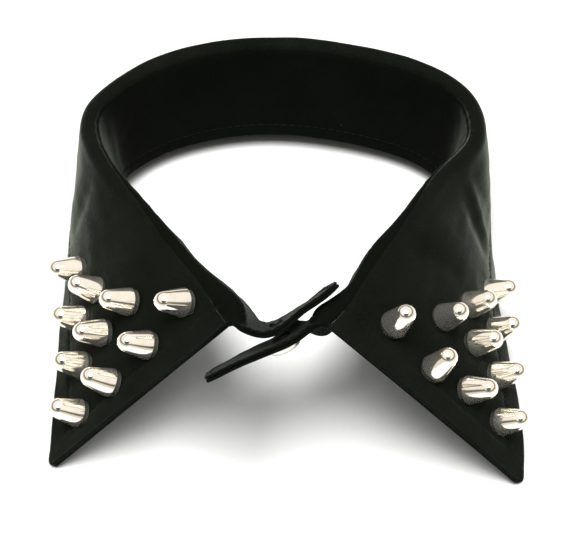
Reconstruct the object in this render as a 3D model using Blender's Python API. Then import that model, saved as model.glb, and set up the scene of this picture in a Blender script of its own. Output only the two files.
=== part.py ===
"""A detachable shirt collar, bullet studs on its points, standing on its leaf with its band snapped shut.

Lengths are in millimetres until a mesh is made, which is in metres. X runs to the right of someone who
faces the collar's front, Y to its back and Z up. The collar stands on z = 0, and the last step moves it so
that the middle of its footprint is at the origin.
"""

import math

import bmesh
import bpy
import numpy as np
from mathutils import Matrix, Vector

MM = 0.001

# Cloth: two layers and an interlining, sewn and turned.
LEAF_WALL = 1.8
BAND_WALL = 1.7
GAP = 0.3

# How finely the cloth is divided. Rows crowd towards the fold, and the leaf's round tips are finer.
COLUMN_STEP = 5.6
LEAF_ROWS = 11
BAND_ROWS = 10
LEAF_CROWDING = 1.5
BAND_CROWDING = 1.35
FRONT_LENGTH = 76.0
TIP_ROUND = 3.4
TIP_STEPS = 3
ROUND_COLUMNS = 5
BESIDE = 0.5

# The fold's radius and how far the leaf rounds out between the fold and its outer edge, at the centre back
# and at the front edges.
BEND = (2.6, 2.6)
BELLY = (0.5, 2.2)
RESTS_BELOW = 0.4

# The collar's sections from the left front edge, round the back, to the right front edge. roll is the
# fold's crest, band the band's lower edge, leaf the leaf's outer edge. seam is how far past the crest, along
# the cloth, the leaf is sewn to the band: below 0 the seam is on the neck's side.
SECTION_COLUMNS = ("roll", "band", "leaf", "seam")
SECTIONS = (
    ((-9.8, -51.6, 52.6), (-8.4, -33.2, 33.3), (-64.3, -66.1, 0.0), 3.4),
    ((-16.6, -40.2, 51.0), (-14.2, -22.2, 28.5), (-65.5, -50.0, 1.2), 2.8),
    ((-28.8, -23.9, 49.0), (-23.4, -9.6, 22.5), (-66.8, -30.0, 2.6), 1.4),
    ((-40.0, -6.7, 46.6), (-32.6, 3.6, 18.0), (-68.4, -9.0, 2.8), 0.4),
    ((-55.5, 16.8, 43.7), (-46.5, 21.8, 12.5), (-69.8, 17.0, 2.2), -1.4),
    ((-62.6, 35.0, 41.5), (-54.8, 37.0, 9.5), (-69.2, 37.5, 1.2), -2.2),
    ((-62.9, 45.5, 40.4), (-56.2, 46.5, 7.5), (-67.0, 49.0, 0.6), -2.6),
    ((-58.3, 55.8, 39.7), (-53.0, 54.0, 6.3), (-63.2, 60.5, 0.0), -3.0),
    ((-46.9, 69.0, 39.6), (-43.0, 63.5, 6.0), (-53.0, 76.5, 0.0), -3.5),
    ((-28.0, 79.0, 39.6), (-25.0, 71.5, 6.0), (-31.5, 88.0, 0.0), -3.5),
    ((-3.5, 82.8, 39.7), (-3.5, 74.2, 6.0), (-3.5, 92.5, 0.0), -3.5),
    ((21.5, 79.2, 39.6), (18.5, 71.2, 5.8), (25.0, 88.0, 0.0), -3.5),
    ((45.6, 69.0, 39.6), (41.8, 62.4, 5.2), (50.0, 76.6, 0.0), -3.5),
    ((56.3, 56.1, 39.7), (51.0, 52.4, 5.0), (59.6, 61.2, 0.0), -3.0),
    ((58.3, 45.6, 40.4), (52.0, 45.0, 6.0), (62.2, 49.5, 0.6), -2.6),
    ((57.4, 35.2, 41.5), (49.6, 36.6, 9.2), (64.2, 38.0, 1.2), -2.2),
    ((46.9, 17.0, 43.7), (38.0, 22.0, 12.5), (65.6, 17.0, 2.2), -1.4),
    ((35.1, -6.1, 46.6), (27.5, 3.6, 18.0), (67.0, -9.0, 2.8), 0.4),
    ((26.1, -23.3, 49.0), (22.2, -10.0, 22.5), (69.2, -30.0, 2.6), 1.6),
    ((19.0, -39.6, 50.3), (17.0, -24.4, 27.0), (70.9, -50.0, 1.2), 1.6),
    ((11.0, -51.6, 52.4), (9.2, -38.6, 32.6), (70.0, -66.1, 0.0), 2.6),
)

# Past the leaf's front edges the band runs on as a flat tab, here from the leaf to the tab's end. near is
# its upper edge, which shows from the front, and far its lower one.
TAB_COLUMNS = ("near", "far")
LEFT_TAB = (
    ((-8.6, -57.4, 54.0), (-5.9, -36.7, 33.3)),
    ((-2.2, -59.8, 54.8), (-2.4, -38.3, 34.4)),
    ((2.4, -57.2, 55.5), (1.0, -36.8, 35.0)),
    ((7.0, -52.4, 56.3), (4.2, -33.9, 34.9)),
    ((12.2, -47.4, 56.5), (8.6, -30.6, 35.8)),
    ((16.8, -42.0, 57.0), (12.0, -28.2, 38.0)),
)
RIGHT_TAB = (
    ((9.4, -55.2, 52.6), (3.8, -37.7, 35.2)),
    ((6.5, -57.8, 52.1), (1.4, -40.9, 34.6)),
    ((0.6, -62.0, 51.9), (-4.4, -46.0, 34.1)),
    ((-8.7, -67.4, 51.8), (-11.8, -51.4, 34.0)),
    ((-17.3, -73.4, 51.6), (-18.4, -58.2, 35.8)),
)
TAB_ROUND = 5.0
TAB_STEP = 3.6

# A stud's outline from its base, at the middle of the cloth's face, to its tip, and its screw's flat head
# on the leaf's other face.
OUTLINE_COLUMNS = ("radius", "height")
STUD_OUTLINE = (
    (4.0, 0.0),
    (4.1, 0.4),
    (3.75, 2.8),
    (3.05, 6.0),
    (2.5, 7.6),
    (1.7, 8.7),
    (0.8, 9.2),
)
SCREW_OUTLINE = (
    (3.6, 0.0),
    (3.6, 0.7),
    (3.1, 1.2),
)
SIDES = 16

# Where the studs are: how far behind the leaf's front edge, along the fold, and how far down from the seam.
# They lean in the cloth: forward is towards the front edge and outward towards the outer one, in degrees.
STUD_COLUMNS = ("back", "down", "forward", "outward")
LEFT_STUDS = (
    (59, 34, 10, 3),
    (44, 30, -2, 0),
    (29, 21, -3, 12),
    (15, 7, 4, 14),
    (40, 41, 8, 1),
    (27, 35, 5, 12),
    (11, 24, 2, 14),
    (23, 48, 6, 4),
    (9, 41, -2, 10),
    (8, 56, 4, 7),
)
RIGHT_STUDS = (
    (56, 41, 8, 0),
    (42, 34, 7, -2),
    (29, 27, 12, -8),
    (14, 14, 1, -14),
    (42, 47, 12, -4),
    (30, 41, 10, 4),
    (11, 32, -4, -13),
    (26, 53, 10, 7),
    (13, 45, 9, 12),
    (12, 60, 11, 6),
)

# The snap's outlines, from the face of cloth that each piece sits on, and where it goes through the tabs:
# how far past the leaf's front edge and how far up from the tab's lower edge.
CAP_OUTLINE = (
    (4.2, 0.0),
    (4.5, 0.5),
    (4.1, 1.2),
    (2.6, 1.8),
    (1.0, 2.0),
)
BACK_OUTLINE = (
    (2.0, 0.0),
    (2.0, 0.4),
    (1.5, 0.8),
)
SOCKET_WIDTH = 2.8
BALL_WIDTH = 1.8
SNAP_PLAY = 0.4
SNAP_LEFT = (16.3, 17.5)
SNAP_RIGHT = (11.6, 14.0)


def unit(vectors):
    """The vectors at length 1."""
    return vectors / np.linalg.norm(vectors, axis=-1, keepdims=True)


def named(columns, rows):
    """The rows' columns by name, each as an array."""
    return {name: np.array([row[i] for row in rows], float) for i, name in enumerate(columns)}


def spline(knots, values, at):
    """A natural cubic spline through values at knots, read at the places in at."""
    flat = values.reshape(len(knots), -1)
    gaps = np.diff(knots)
    matrix = np.eye(len(knots))
    pull = np.zeros_like(flat)
    for i in range(1, len(knots) - 1):
        matrix[i, i - 1:i + 2] = gaps[i - 1], 2 * (gaps[i - 1] + gaps[i]), gaps[i]
        pull[i] = 6 * ((flat[i + 1] - flat[i]) / gaps[i] - (flat[i] - flat[i - 1]) / gaps[i - 1])
    curve = np.linalg.solve(matrix, pull)
    i = np.clip(np.searchsorted(knots, at) - 1, 0, len(knots) - 2)
    after = (at - knots[i])[:, None]
    before = (knots[i + 1] - at)[:, None]
    gap = gaps[i][:, None]
    made = (curve[i] * before ** 3 + curve[i + 1] * after ** 3) / (6 * gap)
    made += (flat[i] / gap - curve[i] * gap / 6) * before
    made += (flat[i + 1] / gap - curve[i + 1] * gap / 6) * after
    return made.reshape((len(made),) + values.shape[1:])


def run_from_fold(crest, end, other, bend, belly):
    """How the cloth runs from a fold's crest to its end, with its other end on the fold's far side.

    Gives its length and a function from the distance along it to the point there: first round the bend,
    then straight to the end, but for the belly.
    """
    along = unit(unit(end - crest) - unit(other - crest))
    inward = unit(end - crest) + unit(other - crest)
    inward = unit(inward - along * (inward @ along))
    centre = crest + bend * inward
    ahead = (end - centre) @ along
    down = (end - centre) @ inward
    turn = math.atan2(down, ahead) + math.asin(bend / math.hypot(ahead, down))
    straight = math.sqrt(ahead ** 2 + down ** 2 - bend ** 2)
    way = math.cos(turn) * along + math.sin(turn) * inward
    out = math.sin(turn) * along - math.cos(turn) * inward

    def point(distance):
        if distance <= bend * turn:
            angle = distance / bend
            return centre + bend * (math.sin(angle) * along - math.cos(angle) * inward)
        part = (distance - bend * turn) / straight
        return centre + bend * out + part * straight * way + 4 * part * (1 - part) * belly * out

    return bend * turn + straight, point


def crowded(rows, crowding):
    """Fractions from 0 to 1 in this many steps, closest together at 0."""
    return np.linspace(0, 1, rows + 1) ** crowding


def leaf_parts():
    """How far down the leaf its rows are, from 0 at the seam to 1 at its outer edge."""
    edge = TIP_ROUND / FRONT_LENGTH
    plain = (1 - edge) * crowded(LEAF_ROWS, LEAF_CROWDING)
    return np.concatenate([plain, 1 - edge * np.linspace(1, 0, TIP_STEPS + 1)[1:]])


def sections():
    """Each section's points across the band and across the leaf, with one more past the seam on each."""
    table = named(SECTION_COLUMNS, SECTIONS)
    middle = (len(SECTIONS) - 1) / 2
    band_rows = []
    leaf_rows = []
    for i, crest in enumerate(table["roll"]):
        front = abs(i - middle) / middle
        bend = BEND[0] + (BEND[1] - BEND[0]) * front
        belly = BELLY[0] + (BELLY[1] - BELLY[0]) * math.sin(math.pi * min(front, 0.9)) * front
        leaf_run, on_leaf = run_from_fold(crest, table["leaf"][i], table["band"][i], bend, belly)
        band_run, on_band = run_from_fold(crest, table["band"][i], table["leaf"][i], bend, 0)

        def across(place):
            return on_leaf(place) if place > 0 else on_band(-place)

        seam = table["seam"][i]
        leaf = seam + GAP / 2 + (leaf_run - seam - GAP / 2) * leaf_parts()
        band = seam - GAP / 2 - (band_run + seam - GAP / 2) * crowded(BAND_ROWS, BAND_CROWDING)
        leaf_rows.append([across(seam - BESIDE)] + [across(place) for place in leaf])
        band_rows.append([across(place) for place in band[::-1]] + [across(seam + BESIDE)])
    return np.array(band_rows), np.array(leaf_rows)


def tab_sections(rows):
    """The tab's points across, from its lower edge to its upper one and one more beyond."""
    table = named(TAB_COLUMNS, rows)
    width = np.linalg.norm(table["near"] - table["far"], axis=1, keepdims=True)
    down = 1 - crowded(BAND_ROWS, BAND_CROWDING)[::-1]
    places = [table["far"] + part * (table["near"] - table["far"]) for part in down]
    places.append(table["near"] + (table["near"] - table["far"]) * BESIDE / width)
    return np.array(places).swapaxes(0, 1)


def knots_along(points):
    """How far along each point is from the first."""
    return np.concatenate([[0], np.cumsum(np.linalg.norm(np.diff(points, axis=0), axis=1))])


def leaf_places(length):
    """Distances round the leaf from one front edge to the other, closer together at each."""
    tip = np.linspace(0, TIP_ROUND, TIP_STEPS + 1)
    plain = np.linspace(TIP_ROUND, length - TIP_ROUND, 1 + round((length - 2 * TIP_ROUND) / COLUMN_STEP))
    return np.concatenate([tip[:-1], plain, length - tip[-2::-1]])


def tab_places(length):
    """Distances from the leaf along a tab of this length, closer together round its end."""
    plain = np.linspace(0, length - TAB_ROUND, 1 + round((length - TAB_ROUND) / TAB_STEP))
    turned = np.radians(np.linspace(0, 90, ROUND_COLUMNS + 1)[1:])
    return np.concatenate([plain[1:], length - TAB_ROUND + TAB_ROUND * np.sin(turned)])


def round_tab(column, left):
    """Draws a column of a tab together where it is this near the tab's end."""
    if left >= TAB_ROUND:
        return column
    inset = TAB_ROUND - math.sqrt(max(TAB_ROUND ** 2 - (TAB_ROUND - left) ** 2, 0))
    width = np.linalg.norm(column[-2] - column[0])
    parts = np.linalg.norm(column - column[0], axis=1) / width
    parts = inset / width + parts * (1 - 2 * inset / width)
    return column[0] + parts[:, None] * (column[-2] - column[0])


def round_corner(grid):
    """Rounds the corner where a sheet's first column meets its last row, in place."""
    near = grid[:TIP_STEPS + 1, -TIP_STEPS - 1:]
    across = np.stack([knots_along(row) for row in near.swapaxes(0, 1)], axis=1)
    down = np.stack([knots_along(column[::-1])[::-1] for column in near])
    inward = unit(np.gradient(near, axis=0))
    upward = -unit(np.gradient(near, axis=1))
    u = np.clip(1 - across / TIP_ROUND, 0, 1)
    v = np.clip(1 - down / TIP_ROUND, 0, 1)
    move_in = TIP_ROUND * (1 - u * np.sqrt(1 - v ** 2 / 2)) - across
    move_up = TIP_ROUND * (1 - v * np.sqrt(1 - u ** 2 / 2)) - down
    moved = near + move_in[..., None] * inward + move_up[..., None] * upward
    inside = (u > 0) & (v > 0)
    near[inside] = moved[inside]


def cloth():
    """The knots and sections that the band and the leaf are lofted through."""
    band_rows, leaf_rows = sections()
    left_tab = tab_sections(LEFT_TAB)[::-1]
    right_tab = tab_sections(RIGHT_TAB)
    leaf_knots = knots_along(named(SECTION_COLUMNS, SECTIONS)["roll"])
    left_knots = -knots_along(np.concatenate([band_rows[:1], left_tab[::-1]])[:, -2])[1:][::-1]
    right_knots = leaf_knots[-1] + knots_along(np.concatenate([band_rows[-1:], right_tab])[:, -2])[1:]
    band_knots = np.concatenate([left_knots, leaf_knots, right_knots])
    return band_knots, np.concatenate([left_tab, band_rows, right_tab]), leaf_knots, leaf_rows


def cloth_grids(band_knots, band_rows, leaf_knots, leaf_rows):
    """The middle surfaces of the band and of the leaf: columns round the neck, rows across the cloth.

    The last thing given is which of the band's columns are sewn to the leaf.
    """
    front = leaf_knots[-1]
    columns = leaf_places(front)
    left_columns = -tab_places(-band_knots[0])[::-1]
    right_columns = front + tab_places(band_knots[-1] - front)
    all_columns = np.concatenate([left_columns, columns, right_columns])
    leaf = spline(leaf_knots, leaf_rows, columns)
    band = spline(band_knots, band_rows, all_columns)
    for i, column in enumerate(all_columns):
        band[i] = round_tab(band[i], min(column - band_knots[0], band_knots[-1] - column))
    sewn = slice(len(left_columns), len(left_columns) + len(columns))
    edge = leaf[:, 1] + unit(leaf[:, 0] - leaf[:, 1]) * GAP
    weight = np.append(np.linspace(0, 1, BAND_ROWS + 1) ** 3, 1)
    band[sewn] += weight[:, None] * (edge - band[sewn, -2])[:, None]
    for column in leaf[:, -1]:
        if column[2] < RESTS_BELOW:
            column[2] = 0
    return band, leaf, sewn


def normals(grid):
    """The shown face's direction at each point: the neck's side of the band, the outside of the leaf."""
    return unit(np.cross(np.gradient(grid, axis=0), np.gradient(grid, axis=1)))


def spot(knots, rows, place, down):
    """A point of the cloth's middle surface, this far round and across, and the way its shown face looks."""
    columns = spline(knots, rows, np.array([place - BESIDE, place, place + BESIDE]))
    found = []
    for column, step in ((0, 0), (2, 0), (1, -BESIDE), (1, BESIDE), (1, 0)):
        across = knots_along(columns[column])
        line = columns[column]
        found.append(np.array([np.interp(down + step, across, line[:, axis]) for axis in range(3)]))
    return found[4], unit(np.cross(found[1] - found[0], found[3] - found[2]))


def material(name, colour, roughness, metallic):
    """A plain finish for a node."""
    made = bpy.data.materials.new(name)
    made.use_nodes = True
    shader = made.node_tree.nodes["Principled BSDF"]
    shader.inputs["Base Color"].default_value = (*colour, 1)
    shader.inputs["Roughness"].default_value = roughness
    shader.inputs["Metallic"].default_value = metallic
    return made


def place(name, points, faces, finish, smooth_below=35):
    """Makes an object of a mesh given in millimetres."""
    mesh = bpy.data.meshes.new(name)
    mesh.from_pydata([tuple(point) for point in np.asarray(points) * MM], [], faces)
    mesh.validate()
    mesh.shade_smooth()
    mesh.set_sharp_from_angle(angle=math.radians(smooth_below))
    mesh.materials.append(finish)
    made = bpy.data.objects.new(name, mesh)
    bpy.context.scene.collection.objects.link(made)
    return made


def wall(name, grid, out, thickness, finish):
    """A wall of cloth about a grid of points, square at its edges and flat where it rests."""
    columns, rows = grid.shape[:2]
    shown = grid + out * thickness / 2
    hidden = grid - out * thickness / 2
    for face in (shown, hidden):
        face[grid[..., 2] == 0, 2] = 0
        face[..., 2] = np.maximum(face[..., 2], 0)
    points = np.concatenate([shown.reshape(-1, 3), hidden.reshape(-1, 3)])
    other = columns * rows

    def at(column, row):
        return column * rows + row

    faces = []
    for i in range(columns - 1):
        for j in range(rows - 1):
            quad = (at(i, j), at(i + 1, j), at(i + 1, j + 1), at(i, j + 1))
            faces.append(quad)
            faces.append(tuple(other + corner for corner in reversed(quad)))
    rim = [at(i, 0) for i in range(columns)]
    rim += [at(columns - 1, j) for j in range(1, rows)]
    rim += [at(i, rows - 1) for i in range(columns - 2, -1, -1)]
    rim += [at(0, j) for j in range(rows - 2, 0, -1)]
    for here, ahead in zip(rim, rim[1:] + rim[:1]):
        faces.append((ahead, here, other + here, other + ahead))
    return place(name, points, faces, finish)


def turned(name, outline, foot, axis, finish):
    """A round solid: an outline of (radius, height) rows turned about an axis that starts at its foot."""
    rows = named(OUTLINE_COLUMNS, outline)
    mesh = bmesh.new()
    edge = [mesh.verts.new((0, 0, rows["height"][0]))]
    edge += [mesh.verts.new((radius, 0, height)) for radius, height in zip(rows["radius"], rows["height"])]
    edge.append(mesh.verts.new((0, 0, rows["height"][-1])))
    line = [mesh.edges.new(pair) for pair in zip(edge, edge[1:])]
    bmesh.ops.spin(mesh, geom=edge + line, axis=(0, 0, 1), cent=(0, 0, 0), steps=SIDES, angle=2 * math.pi)
    bmesh.ops.remove_doubles(mesh, verts=mesh.verts, dist=0.01)
    bmesh.ops.recalc_face_normals(mesh, faces=mesh.faces)
    turn = Vector(axis).to_track_quat("Z", "X").to_matrix()
    points = [Vector(foot) + turn @ point.co for point in mesh.verts]
    faces = [tuple(corner.index for corner in face.verts) for face in mesh.faces]
    mesh.free()
    return place(name, [tuple(point) for point in points], faces, finish)


def studs(side, table, leaf_knots, leaf_rows, metal):
    """One side's studs on the leaf's outer face, each with its screw's head behind it."""
    rows = named(STUD_COLUMNS, table)
    last = leaf_knots[-1]
    made = []
    for i in range(len(table)):
        place_round = rows["back"][i] if side == "left" else last - rows["back"][i]
        point, out = spot(leaf_knots, leaf_rows[:, 1:], place_round, rows["down"][i])
        ahead, _ = spot(leaf_knots, leaf_rows[:, 1:], place_round, rows["down"][i] + BESIDE)
        outward = unit(ahead - point)
        forward = np.cross(out, outward) if side == "left" else np.cross(outward, out)
        lean = np.tan(np.radians([rows["forward"][i], rows["outward"][i]]))
        axis = unit(out + lean[0] * forward + lean[1] * outward)
        sunk = STUD_OUTLINE[1][0] * math.sin(math.acos(min(axis @ out, 1.0)))
        foot = point + out * (LEAF_WALL / 2 + GAP + sunk)
        made.append(turned(f"stud_{side}_{i + 1}", STUD_OUTLINE, foot, axis, metal.copy()))
        head = point - out * (LEAF_WALL / 2 + GAP)
        made.append(turned(f"screw_{side}_{i + 1}", SCREW_OUTLINE, head, -out, metal.copy()))
    return made


def snap(band_knots, band_rows, last, metal):
    """The snap that closes the tabs: cap and socket on the right one, ball and back on the left one."""
    left, left_in = spot(band_knots, band_rows[:, :-1], -SNAP_LEFT[0], SNAP_LEFT[1])
    right, right_in = spot(band_knots, band_rows[:, :-1], last + SNAP_RIGHT[0], SNAP_RIGHT[1])
    face = BAND_WALL / 2 + GAP
    deep = (np.linalg.norm(left - right) - 2 * face - SNAP_PLAY) / 2
    socket = ((SOCKET_WIDTH, 0.0), (SOCKET_WIDTH, 0.7 * deep), (0.8 * SOCKET_WIDTH, deep))
    ball = ((SOCKET_WIDTH, 0.0), (SOCKET_WIDTH, 0.3 * deep), (BALL_WIDTH, 0.5 * deep), (BALL_WIDTH, deep))
    return [
        turned("snap_cap", CAP_OUTLINE, right - right_in * face, -right_in, metal.copy()),
        turned("snap_socket", socket, right + right_in * face, right_in, metal.copy()),
        turned("snap_ball", ball, left - left_in * face, -left_in, metal.copy()),
        turned("snap_back", BACK_OUTLINE, left + left_in * face, left_in, metal.copy()),
    ]


def clear_scene():
    """Removes whatever the file opened with."""
    for old in list(bpy.data.objects):
        bpy.data.objects.remove(old, do_unlink=True)


def centre_on_origin(objects):
    """Moves the collar so that the middle of its footprint is at the origin."""
    points = np.concatenate([[tuple(point.co) for point in each.data.vertices] for each in objects])
    low, high = points.min(axis=0), points.max(axis=0)
    shift = Vector((-(low[0] + high[0]) / 2, -(low[1] + high[1]) / 2, -low[2]))
    for each in objects:
        each.data.transform(Matrix.Translation(shift))


def main():
    clear_scene()
    fabric = material("collar_cloth", (0.012, 0.012, 0.013), 0.85, 0.0)
    metal = material("stud_metal", (0.78, 0.75, 0.71), 0.18, 1.0)
    band_knots, band_rows, leaf_knots, leaf_rows = cloth()
    band, leaf, sewn = cloth_grids(band_knots, band_rows, leaf_knots, leaf_rows)
    band_out = normals(band)[:, :-1]
    leaf_out = normals(leaf)[:, 1:]
    leaf_out[:, 0] = band_out[sewn, -1]
    round_corner(leaf)
    round_corner(leaf[::-1])
    made = [
        wall("band", band[:, :-1], band_out, BAND_WALL, fabric.copy()),
        wall("leaf", leaf[:, 1:], leaf_out, LEAF_WALL, fabric.copy()),
    ]
    made += studs("left", LEFT_STUDS, leaf_knots, leaf_rows, metal)
    made += studs("right", RIGHT_STUDS, leaf_knots, leaf_rows, metal)
    made += snap(band_knots, band_rows, leaf_knots[-1], metal)
    centre_on_origin(made)


main()
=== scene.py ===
"""A detachable shirt collar with bullet studs on its points: its cloth, stitching, metal, floor and light.

The cloth is lofted through the same sections as the solids, only finer, as two shells with turned edges,
topstitching, creases and puckers. Lengths are in millimetres until a mesh is made, which is in metres.
"""

import math
import random

import bpy
import numpy as np
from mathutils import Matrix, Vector


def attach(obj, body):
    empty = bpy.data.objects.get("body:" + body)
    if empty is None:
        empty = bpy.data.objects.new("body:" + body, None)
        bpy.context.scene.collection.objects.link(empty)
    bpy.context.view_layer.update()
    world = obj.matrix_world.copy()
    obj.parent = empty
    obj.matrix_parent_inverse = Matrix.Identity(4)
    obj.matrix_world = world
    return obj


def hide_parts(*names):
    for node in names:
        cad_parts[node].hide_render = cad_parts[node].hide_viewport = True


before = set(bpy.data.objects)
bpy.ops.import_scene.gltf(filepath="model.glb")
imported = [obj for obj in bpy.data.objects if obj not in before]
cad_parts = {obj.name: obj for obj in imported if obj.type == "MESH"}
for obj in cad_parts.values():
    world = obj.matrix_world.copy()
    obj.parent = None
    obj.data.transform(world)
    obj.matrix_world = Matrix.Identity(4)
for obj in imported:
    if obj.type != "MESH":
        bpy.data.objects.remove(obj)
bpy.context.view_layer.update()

MM = 0.001

# From the middle of the sections' own axes to the middle of the collar's footprint.
TO_MIDDLE = (-0.1437, -10.6673, 0.0)

# The camera: the photograph's angle, its distance, and the point of the sections' axes that it looks at,
# which shows this far above the picture's middle, in pixels.
AZIMUTH = 2.5
ELEVATION = 46.0
DISTANCE = 450.0
LOOKS_AT = (0.0, 0.0, 25.0)
FOCAL_PIXELS = 1485.0
PICTURE_WIDTH = 570
PIXELS_UP = 24
SENSOR = 36.0

# Cloth: two layers and an interlining, sewn and turned.
LEAF_WALL = 1.8
BAND_WALL = 1.7
GAP = 0.3
SEAM_LAP = 0.7
BESIDE = 0.5

# The fold's radius and how far the leaf rounds out, at the centre back and at the front edges.
BEND = (2.6, 2.6)
BELLY = (0.5, 2.2)
RESTS_BELOW = 0.4
PULL_POWER = 1.35

# The collar's sections from the left front edge, round the back, to the right front edge. roll is the
# fold's crest, band the band's lower edge, leaf the leaf's outer edge. seam is how far past the crest, along
# the cloth, the leaf is sewn to the band: below 0 the seam is on the neck's side.
SECTION_COLUMNS = ("roll", "band", "leaf", "seam")
SECTIONS = (
    ((-9.8, -51.6, 52.6), (-8.4, -33.2, 33.3), (-64.3, -66.1, 0.0), 3.4),
    ((-16.6, -40.2, 51.0), (-14.2, -22.2, 28.5), (-65.5, -50.0, 1.2), 2.8),
    ((-28.8, -23.9, 49.0), (-23.4, -9.6, 22.5), (-66.8, -30.0, 2.6), 1.4),
    ((-40.0, -6.7, 46.6), (-32.6, 3.6, 18.0), (-68.4, -9.0, 2.8), 0.4),
    ((-55.5, 16.8, 43.7), (-46.5, 21.8, 12.5), (-69.8, 17.0, 2.2), -1.4),
    ((-62.6, 35.0, 41.5), (-54.8, 37.0, 9.5), (-69.2, 37.5, 1.2), -2.2),
    ((-62.9, 45.5, 40.4), (-56.2, 46.5, 7.5), (-67.0, 49.0, 0.6), -2.6),
    ((-58.3, 55.8, 39.7), (-53.0, 54.0, 6.3), (-63.2, 60.5, 0.0), -3.0),
    ((-46.9, 69.0, 39.6), (-43.0, 63.5, 6.0), (-53.0, 76.5, 0.0), -3.5),
    ((-28.0, 79.0, 39.6), (-25.0, 71.5, 6.0), (-31.5, 88.0, 0.0), -3.5),
    ((-3.5, 82.8, 39.7), (-3.5, 74.2, 6.0), (-3.5, 92.5, 0.0), -3.5),
    ((21.5, 79.2, 39.6), (18.5, 71.2, 5.8), (25.0, 88.0, 0.0), -3.5),
    ((45.6, 69.0, 39.6), (41.8, 62.4, 5.2), (50.0, 76.6, 0.0), -3.5),
    ((56.3, 56.1, 39.7), (51.0, 52.4, 5.0), (59.6, 61.2, 0.0), -3.0),
    ((58.3, 45.6, 40.4), (52.0, 45.0, 6.0), (62.2, 49.5, 0.6), -2.6),
    ((57.4, 35.2, 41.5), (49.6, 36.6, 9.2), (64.2, 38.0, 1.2), -2.2),
    ((46.9, 17.0, 43.7), (38.0, 22.0, 12.5), (65.6, 17.0, 2.2), -1.4),
    ((35.1, -6.1, 46.6), (27.5, 3.6, 18.0), (67.0, -9.0, 2.8), 0.4),
    ((26.1, -23.3, 49.0), (22.2, -10.0, 22.5), (69.2, -30.0, 2.6), 1.6),
    ((19.0, -39.6, 50.3), (17.0, -24.4, 27.0), (70.9, -50.0, 1.2), 1.6),
    ((11.0, -51.6, 52.4), (9.2, -38.6, 32.6), (70.0, -66.1, 0.0), 2.6),
)

# The band's tabs, from the leaf to the tab's end: near is the upper edge, far the lower one.
TAB_COLUMNS = ("near", "far")
LEFT_TAB = (
    ((-8.6, -57.4, 54.0), (-5.9, -36.7, 33.3)),
    ((-2.2, -59.8, 54.8), (-2.4, -38.3, 34.4)),
    ((2.4, -57.2, 55.5), (1.0, -36.8, 35.0)),
    ((7.0, -52.4, 56.3), (4.2, -33.9, 34.9)),
    ((12.2, -47.4, 56.5), (8.6, -30.6, 35.8)),
    ((16.8, -42.0, 57.0), (12.0, -28.2, 38.0)),
)
RIGHT_TAB = (
    ((9.4, -55.2, 52.6), (3.8, -37.7, 35.2)),
    ((6.5, -57.8, 52.1), (1.4, -40.9, 34.6)),
    ((0.6, -62.0, 51.9), (-4.4, -46.0, 34.1)),
    ((-8.7, -67.4, 51.8), (-11.8, -51.4, 34.0)),
    ((-17.3, -73.4, 51.6), (-18.4, -58.2, 35.8)),
)
TAB_ROUND = 5.0
TIP_ROUND = 3.4

# How finely the shells are divided: plain steps, and fine ones this far in from an edge.
PLAIN_STEP = 1.45
FINE_STEP = 0.62
TAB_STEP = 1.0
ROUND_COLUMNS = 12
LEAF_FRONT_FINE = 11.0
LEAF_LENGTH = 62.0
LEAF_SEAM_FINE = 3.0
LEAF_EDGE_FINE = 13.0
BAND_LENGTH = 32.0
BAND_SEAM_FINE = 3.0
BAND_EDGE_FINE = 7.0

# A turned edge's profile: across the wall from its shown face, 1, to its hidden one, -1, and outward, both
# in half walls. The two layers round over and meet in a groove.
RIM_COLUMNS = ("across", "outward")
RIM = (
    (1.0, -0.62),
    (0.93, -0.24),
    (0.76, -0.02),
    (0.52, 0.06),
    (0.26, 0.0),
    (0.08, -0.22),
    (0.0, -0.42),
)

# Topstitching: how far in from the edges, the seam allowance's height inside it, and the thread.
LEAF_STITCH = 8.0
BAND_STITCH = 4.2
TAB_STITCH = 1.7
ALLOWANCE_HEIGHT = 0.05
STITCH_DEPTH = 0.16
STITCH_WIDTH = 0.55
PUCKER = 0.05
STITCH_PITCH = 2.7
STITCH_LENGTH = 2.1
THREAD_RADIUS = 0.17

# Creases and soft hollows. round is how far round from the leaf's left front edge, down how far down from
# the seam, turn the crease's angle from level, and height is below 0 for a trough.
CREASE_COLUMNS = ("round", "down", "turn", "length", "width", "height")
LEAF_CREASES = (
    (296, 24, 82, 26, 2.2, 0.55),
    (302, 26, 78, 22, 2.6, -0.50),
    (289, 20, 95, 20, 3.0, -0.35),
    (262, 22, 86, 30, 4.5, 0.45),
    (236, 25, 98, 26, 4.0, -0.40),
    (205, 20, 84, 22, 5.0, 0.35),
    (176, 26, 92, 24, 4.2, -0.40),
    (150, 22, 80, 28, 4.8, 0.40),
    (121, 24, 96, 24, 3.6, -0.45),
    (88, 26, 84, 30, 4.0, 0.45),
    (79, 22, 92, 22, 3.0, -0.40),
    (60, 16, 70, 24, 4.0, 0.30),
    (34, 44, 30, 26, 4.5, 0.30),
    (340, 46, 150, 28, 4.5, 0.30),
    (330, 16, 108, 22, 4.0, -0.30),
)
BAND_CREASES = (
    (40, 14, 88, 20, 3.0, 0.35),
    (78, 16, 80, 18, 3.6, -0.35),
    (112, 15, 96, 20, 3.0, 0.35),
    (158, 16, 84, 22, 4.0, -0.30),
    (196, 15, 92, 20, 4.0, 0.25),
    (240, 16, 88, 20, 3.4, -0.35),
    (268, 14, 98, 18, 3.0, 0.35),
    (322, 16, 84, 22, 3.2, -0.35),
    (352, 14, 96, 20, 2.8, 0.30),
)

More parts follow.
